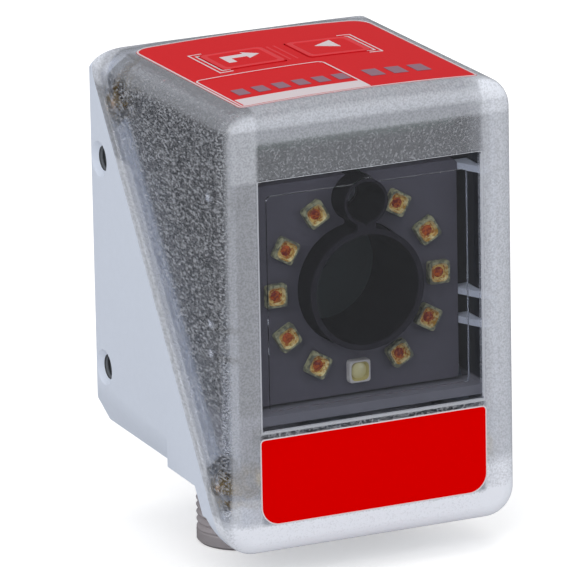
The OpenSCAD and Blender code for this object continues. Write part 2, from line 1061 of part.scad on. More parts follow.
module red_lamp(n) {
    color("#D9B45A")
        on_ring(red_step(n))
            lamp_package(lamp_w / 3);
}

module white_lamp() {
    color(cream_colour)
        on_ring(6)
            lamp_package(lamp_w / 2);
}

// Camera tube and aiming tube in one moulding, with the flange that sits behind the lamp board
module lens_tube() {
    back_y = plate_y + plate_t;
    seat_y = lamp_y + lamp_board_t;
    color(black_part)
        difference() {
            union() {
                along_y(rim_y, seat_y + fit)
                    tube_outline(0);
                along_y(seat_y, seat_y + tube_flange_t)
                    translate([0, axis_z])
                        circle(tube_flange_r);
                along_y(seat_y, back_y)
                    translate([0, axis_z])
                        circle(tube_r);
                along_y(seat_y, rim_y + aim_depth)
                    translate([0, axis_z + ring_r])
                        circle(aim_r);
            }
            along_y(rim_y - over, back_y + over)
                translate([0, axis_z])
                    circle(tube_r - tube_wall);
            along_y(rim_y - over, rim_y + aim_depth - tube_wall)
                translate([0, axis_z + ring_r]) {
                    circle(aim_r - tube_wall / 2);
                    aim_vee();
                }
        }
}

// Pointed notch between the two tubes
module aim_vee() {
    half = aim_r * neck_half_share;
    tip = ring_r - tube_r - tube_wall / 2;
    polygon([
        [-half, -aim_r / 2],
        [half, -aim_r / 2],
        [0, -tip]
    ]);
}

// Lamp at the bottom of the aiming tube
module aiming_lamp() {
    color("#C7CBD0")
        translate([0, rim_y + aim_depth - tube_wall, axis_z + ring_r])
            rotate([90, 0, 0]) {
                cylinder(r = aim_r / 2, h = aim_r / 2);
                translate([0, 0, aim_r / 2])
                    sphere(aim_r / 3);
            }
}

// Flat disc with a pinhole at the end of the camera tube
module aperture_plate() {
    color("#4B524F")
        along_y(plate_y, plate_y + plate_t)
            translate([0, axis_z])
                difference() {
                    circle(tube_r - tube_wall);
                    circle(pinhole_r);
                }
}

module lens_barrel() {
    color(black_part)
        along_y(plate_y + plate_t, plate_y + plate_t + barrel_l)
            translate([0, axis_z])
                difference() {
                    circle(barrel_r);
                    circle(barrel_bore_r);
                }
}

// Glass in the barrel: a plate with a shallow dome towards the pinhole
module front_lens() {
    color([0.75, 0.85, 0.85, 0.6])
        translate([0, plate_y + plate_t + barrel_l, axis_z])
            rotate([90, 0, 0])
                intersection() {
                    cylinder(r = barrel_bore_r, h = glass_t);
                    translate([0, 0, glass_t - 2 * barrel_bore_r])
                        sphere(2 * barrel_bore_r);
                }
}

module lens_holder() {
    y0 = plate_y + plate_t + barrel_l - holder_wall;
    color("#2B2C31")
        difference() {
            along_y(y0, sensor_board_y)
                translate([0, axis_z - holder_w / 2])
                    round_box(holder_w, holder_w, key_r, key_r);
            along_y(y0 - over, y0 + holder_wall)
                translate([0, axis_z])
                    circle(barrel_r);
            along_y(y0 + holder_wall - fit, sensor_board_y + over)
                translate([0, axis_z - holder_w / 2 + holder_wall])
                    round_box(holder_w - 2 * holder_wall, holder_w - 2 * holder_wall, key_r, key_r);
        }
}

module image_sensor() {
    color("#3B3F55")
        along_y(sensor_board_y - sensor_t, sensor_board_y)
            translate([0, axis_z - sensor_w / 2])
                round_box(sensor_w, sensor_w, key_r / 2, key_r / 2);
}

// Board behind the camera, with the socket of the ribbon on its back
module sensor_board() {
    color(green_board) {
        along_y(sensor_board_y, sensor_board_y + sensor_board_t)
            translate([0, axis_z - sensor_board_w / 2])
                round_box(sensor_board_w, sensor_board_w, key_r, key_r);
        translate([-plug_w / 2, sensor_board_y + sensor_board_t - fit, ribbon_z - plug_h])
            cube([plug_w, plug_t + fit, plug_h]);
    }
}

// Plastic frame behind the lamp board, with side arms that carry the other boards
module board_carrier() {
    frame_y0 = lamp_y + lamp_board_t;
    bar_y = sensor_board_y + sensor_board_t;
    low = main_board_low + carrier_in;
    color("#33363C")
        difference() {
            union() {
                along_y(frame_y0, frame_y0 + carrier_frame_t)
                    difference() {
                        translate([0, axis_z - carrier_w / 2])
                            round_box(carrier_w, carrier_w, key_r, key_r);
                        translate([0, axis_z - carrier_opening / 2])
                            round_box(carrier_opening, carrier_opening + aim_r, key_r, key_r);
                        translate([0, axis_z + ring_r])
                            circle(aim_r + tube_gap);
                    }
                for (side = [-1, 1]) {
                    translate([side * (carrier_w - carrier_t) / 2 - carrier_t / 2, frame_y0, low])
                        cube([carrier_t, main_board_y - frame_y0, carrier_h]);
                    carrier_posts(side, low + carrier_h);
                }
                for (z = [low, low + carrier_h - carrier_t])
                    translate([-carrier_w / 2, bar_y, z])
                        cube([carrier_w, carrier_t, carrier_t]);
                carrier_feet();
            }
            at_standoffs()
                translate([0, main_board_y + over, 0])
                    rotate([90, 0, 0])
                        cylinder(r = small_screw_r, h = 2 * carrier_t + 2 * over);
        }
}

// Uprights from the side arms to the indicator board
module carrier_posts(side, from_z) {
    for (y = [ind_board_y - ind_board_l / 2 + post_l, ind_board_y + ind_board_l / 2 - 2 * post_l])
        translate([side * (carrier_w - carrier_t) / 2 - carrier_t / 2, y, from_z - carrier_t])
            cube([carrier_t, post_l, ind_board_top - ind_board_t - from_z + carrier_t]);
}

// Pads in front of the main board at the four standoffs, joined to the side arms
module carrier_feet() {
    pad_h = 2 * standoff_r;
    for (side = [-1, 1])
        for (z = [main_board_low + standoff_in, main_board_low + main_board_h - standoff_in])
            translate([0, main_board_y - 2 * carrier_t, z - standoff_r])
                mirror([side < 0 ? 1 : 0, 0, 0])
                    translate([main_board_w / 2 - standoff_in - standoff_r, 0, 0])
                        cube([standoff_in + standoff_r, 2 * carrier_t, pad_h]);
}

// Four small screws through carrier and main board into the standoffs
module carrier_screws() {
    color(steel_colour)
        at_standoffs()
            translate([0, main_board_y + main_board_t, 0])
                rotate([-90, 0, 0])
                    socket_screw(small_screw_r, small_head_r, small_head_h,
                        2 * carrier_t + main_board_t, 2 * small_screw_r);
}

module main_board() {
    color(green_board)
        difference() {
            union() {
                along_y(main_board_y, main_board_y + main_board_t)
                    translate([0, main_board_low])
                        round_box(main_board_w, main_board_h, key_r, key_r);
                translate([-plug_w / 2, main_board_y - plug_t, ribbon_z - plug_h])
                    cube([plug_w, plug_t + fit, plug_h]);
            }
            at_standoffs()
                translate([0, main_board_y - over, 0])
                    rotate([-90, 0, 0])
                        cylinder(r = small_screw_r, h = main_board_t + 2 * over);
        }
}

// Processor and memory on the back of the main board
module board_chips() {
    chip_t = 1.1;
    chip_w = main_board_w / 2.5;
    color("#1B1D20")
        along_y(main_board_y + main_board_t, main_board_y + main_board_t + chip_t) {
            translate([0, main_board_low + main_board_h / 2])
                square(chip_w, center = true);
            translate([0, main_board_low + main_board_h / 5])
                square([chip_w, chip_w / 3], center = true);
        }
}

// Flat ribbon that loops from the sensor board to the main board
module flex_ribbon() {
    y0 = sensor_board_y + sensor_board_t + plug_t / 2;
    y1 = main_board_y - plug_t / 2;
    r = (y1 - y0 + ribbon_t) / 2;
    color("#C98B3C")
        along_x(ribbon_w) {
            translate([(y0 + y1) / 2, ribbon_z + r])
                difference() {
                    circle(r);
                    circle(r - ribbon_t);
                    translate([-2 * r, -4 * r])
                        square(4 * r);
                }
            for (y = [y0, y1])
                translate([y - ribbon_t / 2, ribbon_z])
                    square([ribbon_t, r + fit]);
        }
}

// Board below the top wall that carries the status lamps and the key switches
module indicator_board() {
    color(green_board)
        translate([0, ind_board_y, ind_board_top - ind_board_t])
            linear_extrude(ind_board_t)
                pad(ind_board_w, ind_board_l, key_r);
}

module status_lamp(n) {
    color("#DCE2E0")
        translate([status_x(n - 1), lamp_row_y, ind_board_top])
            translate([-status_w / 2, -status_l / 2, 0])
                cube([status_w, status_l, status_t]);
}

// Shell of the power connector: a threaded barrel, a plain neck through the floor and a flange
module power_shell() {
    flange_z = floor_z + seal_ring_t;
    color(connector_metal)
        at_connector(-1)
            difference() {
                union() {
                    cylinder(r = power_r, h = thread_stop);
                    cylinder(r = neck_r, h = flange_z + fit);
                    translate([0, 0, flange_z])
                        cylinder(r = shell_flange_r, h = shell_flange_t);
                }
                translate([0, 0, -over])
                    cylinder(r = power_bore_r, h = flange_z + shell_flange_t + 2 * over);
            }
}

// Insulating core that holds the pins, with the coding slot at its rim
module power_insert() {
    color("#24262A")
        at_connector(-1)
            difference() {
                translate([0, 0, power_recess])
                    cylinder(r = power_bore_r - core_fit, h = insert_top - power_recess);
                at_pins()
                    cylinder(r = pin_r, h = insert_top + over);
                translate([power_bore_r - key_slot_d, -key_slot_w / 2, 0])
                    cube([key_slot_d + over, key_slot_w, insert_top + over]);
            }
}

module at_pins() {
    for (n = [1:pin_ring_count])
        rotate(n * 360 / pin_ring_count)
            translate([pin_ring_r, 0, 0])
                children();
    for (n = [1:pin_inner_count])
        rotate(n * 360 / pin_inner_count)
            translate([pin_inner_r, 0, 0])
                children();
}

module power_pins() {
    color(brass_colour)
        at_connector(-1)
            at_pins()
                translate([0, 0, pin_tip_z])
                    cylinder(r = pin_r, h = connector_board_z + connector_board_t - pin_tip_z);
}

module flat_seal(inner_r) {
    color("#1F2124")
        translate([0, 0, floor_z])
            difference() {
                cylinder(r = shell_flange_r, h = seal_ring_t);
                translate([0, 0, -over])
                    cylinder(r = inner_r, h = seal_ring_t + 2 * over);
            }
}

module power_seal() {
    at_connector(-1)
        flat_seal(power_r + fit);
}

module network_seal() {
    at_connector(1)
        flat_seal(network_r + fit);
}

// Shell of the network connector: a sleeve with its thread inside
module network_shell() {
    flange_z = floor_z + seal_ring_t;
    color(connector_metal)
        at_connector(1)
            difference() {
                union() {
                    cylinder(r = network_r, h = flange_z + fit);
                    translate([0, 0, flange_z])
                        cylinder(r = shell_flange_r, h = shell_flange_t);
                }
                translate([0, 0, -over])
                    cylinder(r = network_bore_r, h = flange_z + shell_flange_t + 2 * over);
            }
}

// Core of the network connector: a post with four contact holes and a coding slot
module network_insert() {
    color("#24262A")
        at_connector(1)
            difference() {
                union() {
                    translate([0, 0, network_face_z])
                        cylinder(r = network_core_r, h = network_recess);
                    translate([0, 0, network_recess])
                        cylinder(r = network_bore_r - core_fit, h = insert_top - network_recess);
                }
                at_contacts()
                    cylinder(r = contact_r, h = insert_top + over);
                translate([network_core_r - key_slot_d, -key_slot_w / 2, 0])
                    cube([key_slot_d + over, key_slot_w, network_recess]);
            }
}

module at_contacts() {
    for (n = [1:contact_count])
        rotate((n - 1 / 2) * 360 / contact_count)
            translate([contact_ring_r, 0, 0])
                children();
}

// Four spring sockets that run through the core to the board
module network_contacts() {
    color(brass_colour)
        at_connector(1)
            at_contacts()
                difference() {
                    translate([0, 0, network_face_z])
                        cylinder(r = contact_r, h = connector_board_z + connector_board_t - network_face_z);
                    cylinder(r = contact_hole_r, h = network_recess);
                }
}

// Plate that holds both connector flanges down
module connector_clamp() {
    z = floor_z + seal_ring_t + shell_flange_t;
    color(steel_colour)
        difference() {
            translate([0, 0, z])
                linear_extrude(clamp_t) {
                    pad(clamp_w, clamp_l, key_r);
                    pad(4 * clamp_boss_r, clamp_l + 3 * clamp_boss_r, key_r);
                }
            for (side = [-1, 1]) {
                at_connector(side)
                    translate([0, 0, z - over])
                        cylinder(r = network_bore_r + fit, h = clamp_t + 2 * over);
                translate([0, side * (clamp_l / 2 + clamp_boss_r / 2), z - over])
                    cylinder(r = small_screw_r, h = clamp_t + 2 * over);
            }
        }
}

module clamp_screws() {
    z = floor_z + seal_ring_t + shell_flange_t;
    color(steel_colour)
        for (side = [-1, 1])
            translate([0, side * (clamp_l / 2 + clamp_boss_r / 2), z])
                rotate([180, 0, 0])
                    socket_screw(small_screw_r, small_head_r, small_head_h,
                        clamp_t, 2 * small_screw_r);
}

module connector_board() {
    color(green_board)
        translate([0, 0, connector_board_z])
            difference() {
                linear_extrude(connector_board_t)
                    pad(connector_board_w, connector_board_l, key_r);
                at_connector(-1)
                    at_pins()
                        translate([0, 0, -over])
                            cylinder(r = pin_r, h = connector_board_t + 2 * over);
                at_connector(1)
                    at_contacts()
                        translate([0, 0, -over])
                            cylinder(r = contact_r, h = connector_board_t + 2 * over);
            }
}

rear_housing();
front_hood();
hood_seal();
hood_screws();
thread_inserts();
top_foil();
enter_key();
down_key();
front_label();
lamp_board();
white_lamp();
lens_tube();
aperture_plate();
lens_barrel();
front_lens();
lens_holder();
image_sensor();
sensor_board();
aiming_lamp();
light_shield();
board_carrier();
carrier_screws();
main_board();
board_chips();
flex_ribbon();
indicator_board();
enter_switch();
down_switch();
power_shell();
power_insert();
power_pins();
power_seal();
network_shell();
network_insert();
network_contacts();
network_seal();
connector_clamp();
clamp_screws();
connector_board();
for (n = [1:10])
    red_lamp(n);
for (n = [1:9])
    status_lamp(n);
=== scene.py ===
"""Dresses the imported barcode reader: frosted clear hood, painted casting, lamps, threads and printed foil.

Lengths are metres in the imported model's frame: +Z up, the window faces -Y, Z is zero at the connectors' ends.
"""

import json
import math

import bpy
import numpy as np
from bpy.props import FloatProperty, FloatVectorProperty, IntProperty, PointerProperty
from mathutils import Matrix, Vector


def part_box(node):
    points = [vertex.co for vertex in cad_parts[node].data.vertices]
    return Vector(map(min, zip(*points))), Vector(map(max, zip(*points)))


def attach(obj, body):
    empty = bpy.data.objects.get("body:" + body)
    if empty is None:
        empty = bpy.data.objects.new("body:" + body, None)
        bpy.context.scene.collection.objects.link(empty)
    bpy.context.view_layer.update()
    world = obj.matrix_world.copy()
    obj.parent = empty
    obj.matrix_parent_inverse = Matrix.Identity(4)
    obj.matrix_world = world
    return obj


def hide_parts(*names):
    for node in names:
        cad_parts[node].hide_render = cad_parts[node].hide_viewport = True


bl_info = {
    "name": "Fixed barcode reader",
    "version": (1, 0, 0),
    "blender": (4, 5, 0),
    "location": "View3D > Sidebar > Barcode reader",
    "description": "Finishes, lamps, threads and printed marks for a fixed barcode reader",
    "category": "Object",
}

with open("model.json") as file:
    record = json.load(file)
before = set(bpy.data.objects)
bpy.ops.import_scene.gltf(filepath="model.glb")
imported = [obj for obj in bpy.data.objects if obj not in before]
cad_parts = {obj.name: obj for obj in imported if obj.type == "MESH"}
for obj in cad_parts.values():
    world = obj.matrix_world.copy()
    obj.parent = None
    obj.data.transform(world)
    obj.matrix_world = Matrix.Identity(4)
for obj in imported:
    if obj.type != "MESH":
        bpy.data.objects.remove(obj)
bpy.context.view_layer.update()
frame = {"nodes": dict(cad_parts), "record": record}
MM = 0.001


def srgb(code):
    """Linear red, green, blue and alpha of an sRGB hex code."""
    values = np.array([int(code[i : i + 2], 16) for i in (1, 3, 5)]) / 255
    linear = np.where(values <= 0.04045, values / 12.92, ((values + 0.055) / 1.055) ** 2.4)
    return (*linear.tolist(), 1.0)


def length(name, text, default_mm):
    """Property for a length, given in millimetres and kept in metres."""
    return FloatProperty(name=name, description=text, default=default_mm * MM, unit="LENGTH", precision=5)


def tint(name, text, code):
    """Property for a colour, given as an sRGB hex code."""
    return FloatVectorProperty(
        name=name, description=text, default=srgb(code), size=4, subtype="COLOR", min=0, max=1
    )


class ReaderSizes(bpy.types.PropertyGroup):
    """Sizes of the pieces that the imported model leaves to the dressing."""

    crown_radius: length("Crown radius", "Radius of the arc across the top", 336)
    thread_pitch: length("Thread pitch", "Advance of the connector threads in one turn", 1)
    thread_depth: length("Thread depth", "Height of the connector threads", 0.5)
    collar: length("End collar", "Plain length at the end of a connector", 1.6)
    print_lift: length("Print lift", "How far printed marks stand above the foil", 0.06)
    print_width: length("Print width", "Width of a printed line", 0.24)
    bracket_width: length("Bracket width", "Width of the outlined brackets beside the keys", 0.9)
    bead_width: length("Bead width", "Width of the embossed bead round a key", 0.8)
    lamp_side: length("Lamp side", "Side of a lamp package", 3.08)
    turns_steps: IntProperty(name="Steps a turn", description="Points in one turn of a thread", default=96)


class ReaderColours(bpy.types.PropertyGroup):
    """Colours of the reader's finishes."""

    paint: tint("Paint", "Powder coat of the rear casting", "#D8E0EF")
    clear: tint("Clear plastic", "Body of the hood", "#E1E5EE")
    foil: tint("Foil", "Red of the keypad foil", "#D4161F")
    label: tint("Label", "Red of the front label", "#D60000")
    white: tint("Print", "White of the printed lines", "#D9CDD1")
    board: tint("Lamp board", "Solder mask of the lamp board", "#625E67")
    tube: tint("Tube", "Black moulding of the tubes", "#0D0B0F")
    nickel: tint("Nickel", "Plating of the connectors", "#D6CFD3")
    gold: tint("Gold", "Plated cups of the red lamps", "#E5C267")


# Surfaces


def loop_faces(rings, count, first=0, wrap=True):
    """Quads between neighbouring rings of count points each, as an array of four indices a face."""
    ring = np.arange(rings - 1)[:, None] * count
    step = np.arange(count if wrap else count - 1)[None, :]
    nxt = (step + 1) % count
    quads = np.stack([ring + step, ring + nxt, ring + count + nxt, ring + count + step], -1)
    return (quads.reshape(-1, 4) + first).tolist()


def plate(x, y, z, drop):
    """Closed slab: a grid of points on top, the same grid moved by drop below, and walls along the four sides."""
    top = np.stack([x, y, z], -1)
    rows, columns = x.shape
    points = np.concatenate([top.reshape(-1, 3), (top + np.asarray(drop)).reshape(-1, 3)])
    under = rows * columns
    upper = loop_faces(rows, columns, wrap=False)
    lower = [[i + under for i in face[::-1]] for face in upper]
    edge = np.concatenate(
        [
            np.arange(columns),
            columns - 1 + columns * np.arange(1, rows),
            under - 1 - np.arange(1, columns),
            columns * np.arange(rows - 2, 0, -1),
        ]
    )
    following = np.roll(edge, -1)
    walls = np.stack([following, edge, edge + under, following + under], -1).tolist()
    return points, upper + lower + walls


def turned(rings, start_cap, end_cap):
    """Surface through closed rings (an array of rings, points, 3), with a centre point that closes either end."""
    count = rings.shape[1]
    points = rings.reshape(-1, 3)
    faces = loop_faces(rings.shape[0], count)
    around = np.arange(count)
    for capped, at, flip in ((start_cap, 0, True), (end_cap, len(points) - count, False)):
        if not capped:
            continue
        centre = rings[0 if flip else -1].mean(0)
        points = np.concatenate([points, centre[None]])
        fan = np.stack([at + around, at + (around + 1) % count, np.full(count, len(points) - 1)], -1)
        faces += (fan[:, ::-1] if flip else fan).tolist()
    return points, faces


def piece(name, parts, materials, body, replaces=(), smooth=None):
    """Object of several (points, faces, material index) parts, riding on a body. The faces keep the winding the parts
    give them.
    """
    points, faces, indices, base = [], [], [], 0
    for part_points, part_faces, index in parts:
        points.append(np.asarray(part_points))
        faces += [[i + base for i in face] for face in part_faces]
        indices += [index] * len(part_faces)
        base += len(part_points)
    mesh = bpy.data.meshes.new(name)
    mesh.from_pydata(np.concatenate(points), [], faces)
    mesh.polygons.foreach_set("material_index", np.array(indices, np.int32))
    made = bpy.data.objects.new(name, mesh)
    bpy.context.scene.collection.objects.link(made)
    for material in materials:
        mesh.materials.append(material)
    mesh.validate()
    mesh.update()
    if smooth is not None:
        soften(made, smooth)
    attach(made, body)
    if replaces:
        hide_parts(*replaces)
    return made


def soften(made, angle):
    """Smooth shading up to an edge angle in degrees: doubles are welded, sharper edges split, and flats kept flat."""
    mesh = made.data
    mesh.polygons.foreach_set("use_smooth", np.ones(len(mesh.polygons), bool))
    weld = made.modifiers.new("Weld", "WELD")
    weld.merge_threshold = 0.002 * MM
    split = made.modifiers.new("Split", "EDGE_SPLIT")
    split.split_angle = math.radians(angle)
    made.modifiers.new("Weighted normals", "WEIGHTED_NORMAL")


# Materials


def add(tree, kind, inputs=None, **settings):
    """Adds a node with its settings; an input is given a plain value, or another node's output to link."""
    made = tree.nodes.new(kind)
    for key, value in settings.items():
        setattr(made, key, value)
    for key, value in (inputs or {}).items():
        if isinstance(value, bpy.types.NodeSocket):
            tree.links.new(value, made.inputs[key])
        else:
            made.inputs[key].default_value = value
    return made


def material(name, **shader):
    """New material with a Principled shader; returns it with its tree, the shader and Object coordinates."""
    made = bpy.data.materials.new(name)
    made.use_nodes = True
    tree = made.node_tree
    surface = tree.nodes["Principled BSDF"]
    for key, value in shader.items():
        surface.inputs[key.replace("_", " ")].default_value = value
    place = add(tree, "ShaderNodeTexCoord").outputs["Object"]
    return made, tree, surface, place


def grain(tree, place, size, detail=2.0):
    """Noise whose grains measure size metres; its Fac output."""
    return add(
        tree, "ShaderNodeTexNoise", {"Vector": place, "Scale": 1 / size, "Detail": detail, "Roughness": 0.6}
    ).outputs["Fac"]


def remap(tree, value, low, high, to_low, to_high):
    """Value carried from one range to another, and held at its ends."""
    return add(
        tree,
        "ShaderNodeMapRange",
        {"Value": value, "From Min": low, "From Max": high, "To Min": to_low, "To Max": to_high},
    ).outputs["Result"]


def blend(tree, factor, first, second):
    """Mix of two colours by a factor."""
    made = add(tree, "ShaderNodeMix", data_type="RGBA")
    for index, value in ((0, factor), (6, first), (7, second)):
        if isinstance(value, bpy.types.NodeSocket):
            tree.links.new(value, made.inputs[index])
        else:
            made.inputs[index].default_value = value
    return made.outputs[2]


def maths(tree, operation, first, second=0.0):
    """One sum on two values, each a number or another node's output."""
    return add(tree, "ShaderNodeMath", {0: first, 1: second}, operation=operation).outputs[0]


def bump(tree, surface, height, distance, strength=1.0):
    """Relief on a shader from a height between 0 and 1."""
    add_bump = add(tree, "ShaderNodeBump", {"Height": height, "Distance": distance, "Strength": strength})
    tree.links.new(add_bump.outputs["Normal"], surface.inputs["Normal"])


def shaded(colour, share):
    """Colour brought towards black by a share."""
    return (*(value * (1 - share) for value in colour[:3]), 1.0)


def powder_coat(colours, bores):
    """Powder coat on a zinc casting: satin, with the faint ripple of cured powder, and uncoated metal in the fixing
    bores, striped with painted shade in the thread roots and painted light on the crests. A bore is where the distance
    from its axis, the root of the sum of two squares, is under its radius."""
    made, tree, surface, place = material("powder_coated_zinc", Roughness=0.42)
    parts = add(tree, "ShaderNodeSeparateXYZ", {0: place}).outputs
    ripple = grain(tree, place, 0.9 * MM)
    colour = blend(tree, ripple, shaded(colours.paint, 0.05), colours.paint)
    depth, radius = bores.pop(0)
    inner = maths(tree, "LESS_THAN", maths(tree, "ABSOLUTE", parts["X"]), depth)
    for y, z in bores:
        off = (maths(tree, "SUBTRACT", parts["Y"], y), maths(tree, "SUBTRACT", parts["Z"], z))
        squares = maths(tree, "ADD", maths(tree, "POWER", off[0], 2.0), maths(tree, "POWER", off[1], 2.0))
        bore = maths(tree, "MULTIPLY", maths(tree, "LESS_THAN", squares, radius**2), inner)
        # painted thread: dark stripes are painted shade in the roots, pale stripes are painted light on the crests
        turns = maths(tree, "SINE", maths(tree, "MULTIPLY", parts["X"], 2 * math.pi / (0.7 * MM)))
        bare_metal_and_thread_shade = blend(tree, remap(tree, turns, -1.0, 1.0, 0.0, 1.0), srgb("#2E3034"), srgb("#8A8E94"))
        colour = blend(tree, bore, colour, bare_metal_and_thread_shade)
    tree.links.new(colour, surface.inputs["Base Color"])
    fine = grain(tree, place, 0.3 * MM)
    bump(tree, surface, fine, 0.01 * MM)
    return made


def tube_moulding(colours, front):
    """Black moulding whose front rim is painted paler: a painted highlight for the light the rim catches."""
    made, tree, surface, place = material("black_glass_filled_nylon", Roughness=0.6, Specular_IOR_Level=0.02)
    parts = add(tree, "ShaderNodeSeparateXYZ", {0: place}).outputs
    mottle = grain(tree, place, 0.4 * MM)
    colour = blend(tree, mottle, shaded(colours.tube, 0.2), colours.tube)
    # painted highlight: the front rim is given a paler colour for the light it catches
    rim = remap(tree, parts["Y"], front + 0.05 * MM, front + 0.4 * MM, 1.0, 0.0)
    tree.links.new(blend(tree, rim, colour, srgb("#2F2C32")), surface.inputs["Base Color"])
    bump(tree, surface, mottle, 0.006 * MM)
    return made


def liner_moulding(ledge):
    """Dark moulding round the camera, painted paler below the lamp board: painted light on the ledge, which is lit
    through the window.
    """
    made, tree, surface, place = material("dark_moulding", Roughness=0.5, Specular_IOR_Level=0.25)
    parts = add(tree, "ShaderNodeSeparateXYZ", {0: place}).outputs
    mottle = grain(tree, place, 0.6 * MM)
    # painted light: below the lamp board the moulding is given a pale colour for the light falling on the ledge
    low = remap(tree, parts["Z"], ledge - 0.2 * MM, ledge + 0.2 * MM, 1.0, 0.0)
    colour = blend(tree, mottle, srgb("#232429"), srgb("#26272C"))
    tree.links.new(blend(tree, low, colour, srgb("#8A888E")), surface.inputs["Base Color"])
    bump(tree, surface, mottle, 0.006 * MM)
    return made


def inside_box(tree, parts, low, high, soft=0.01 * MM):
    """1 where the point, given by its three coordinates, lies in a box, and 0 outside, with a soft edge between."""
    middle, half = (low + high) / 2, (high - low) / 2
    within = 1.0
    for index in range(3):
        away = maths(tree, "ABSOLUTE", maths(tree, "SUBTRACT", parts[index], middle[index]))
        inner = remap(tree, away, half[index] - soft, half[index] + soft, 1.0, 0.0)
        within = maths(tree, "MULTIPLY", within, inner)
    return within


def clear_plastic(colours, window, rim, hazy, seam, cavity):
    """Moulded polycarbonate: polished in the window field and spark-eroded elsewhere, so that it scatters there.

    Window is a box, rim the boxes outside and inside the bright bevel round it, and hazy a list of boxes with a haze
    each. Seam is a point on the seam's plane, its normal into the hood, and the width of the paler band along it. The
    specks are drawn out along y, the way the hood leaves its mould, and lie outside the cavity's box only.
    """
    made, tree, surface, place = material("spark_eroded_polycarbonate", IOR=1.58, Specular_IOR_Level=0.06)
    surface.inputs["Base Color"].default_value = colours.clear
    parts = add(tree, "ShaderNodeSeparateXYZ", {0: place}).outputs
    polished = inside_box(tree, parts, *window)
    frosted = maths(tree, "SUBTRACT", 1.0, polished)
    tree.links.new(maths(tree, "MULTIPLY", frosted, 0.26), surface.inputs["Roughness"])
    drawn = add(tree, "ShaderNodeVectorMath", {0: place, 1: (1.0, 0.4, 1.0)}, operation="MULTIPLY").outputs[0]
    speck = grain(tree, drawn, 0.26 * MM, 1.0)
    sparkle = remap(tree, speck, 0.36, 0.66, 1.15, 0.85)
    skin = maths(tree, "SUBTRACT", 1.0, inside_box(tree, parts, *cavity, 0.2 * MM))
    frost = maths(tree, "MULTIPLY", remap(tree, speck, 0.36, 0.58, 0.3, 0.0), skin)
    point, normal, width = seam
    off = add(tree, "ShaderNodeVectorMath", {0: place, 1: point}, operation="SUBTRACT").outputs[0]
    depth = add(tree, "ShaderNodeVectorMath", {0: off, 1: normal}, operation="DOT_PRODUCT").outputs["Value"]
    haze = maths(
        tree,
        "ADD",
        remap(tree, depth, width * 0.85, width, 0.32, 0.0),
        remap(tree, depth, width * 0.3, width * 0.6, 0.28, 0.0),
    )
    haze = maths(tree, "ADD", haze, remap(tree, parts["X"], 14 * MM, 19 * MM, 0.0, 0.2))
    for low, high, more in hazy:
        zone = inside_box(tree, parts, low, high, 0.3 * MM)
        haze = maths(tree, "ADD", haze, maths(tree, "MULTIPLY", zone, more))
    haze = maths(tree, "MAXIMUM", maths(tree, "MULTIPLY", haze, sparkle), frost)
    haze = maths(tree, "MULTIPLY", haze, frosted)
    edge = maths(tree, "SUBTRACT", inside_box(tree, parts, *rim[0]), inside_box(tree, parts, *rim[1]))
    haze = maths(tree, "MAXIMUM", haze, maths(tree, "MULTIPLY", maths(tree, "MAXIMUM", edge, 0.0), 0.5))
    tree.links.new(maths(tree, "SUBTRACT", 1.0, haze), surface.inputs["Transmission Weight"])
    bump(tree, surface, maths(tree, "MULTIPLY", speck, frosted), 0.03 * MM)
    path = add(tree, "ShaderNodeLightPath").outputs["Is Shadow Ray"]
    lamp = add(tree, "ShaderNodeBsdfTransparent", {"Color": (0.93, 0.935, 0.95, 1.0)})
    mixed = add(tree, "ShaderNodeMixShader", {0: path, 1: surface.outputs[0], 2: lamp.outputs[0]})
    tree.links.new(mixed.outputs[0], tree.nodes["Material Output"].inputs["Surface"])
    return made


def plain(name, colour, roughness, variation=0.12, size=0.6, **shader):
    """Moulded or coated surface with a soft mottle of the given grain in millimetres."""
    made, tree, surface, place = material(name, Roughness=roughness, **shader)
    mottle = grain(tree, place, size * MM)
    tree.links.new(blend(tree, mottle, shaded(colour, variation), colour), surface.inputs["Base Color"])
    bump(tree, surface, mottle, 0.006 * MM)
    return made


def mosaic(name, dark, light, size, **shader):
    """Mottle with hard borders between a dark and a light colour, with grains of the given size in millimetres."""
    made, tree, surface, place = material(name, Roughness=0.3, **shader)
    patch = remap(tree, grain(tree, place, size * MM), 0.42, 0.58, 0.0, 1.0)
    tree.links.new(blend(tree, patch, srgb(dark), srgb(light)), surface.inputs["Base Color"])
    return made


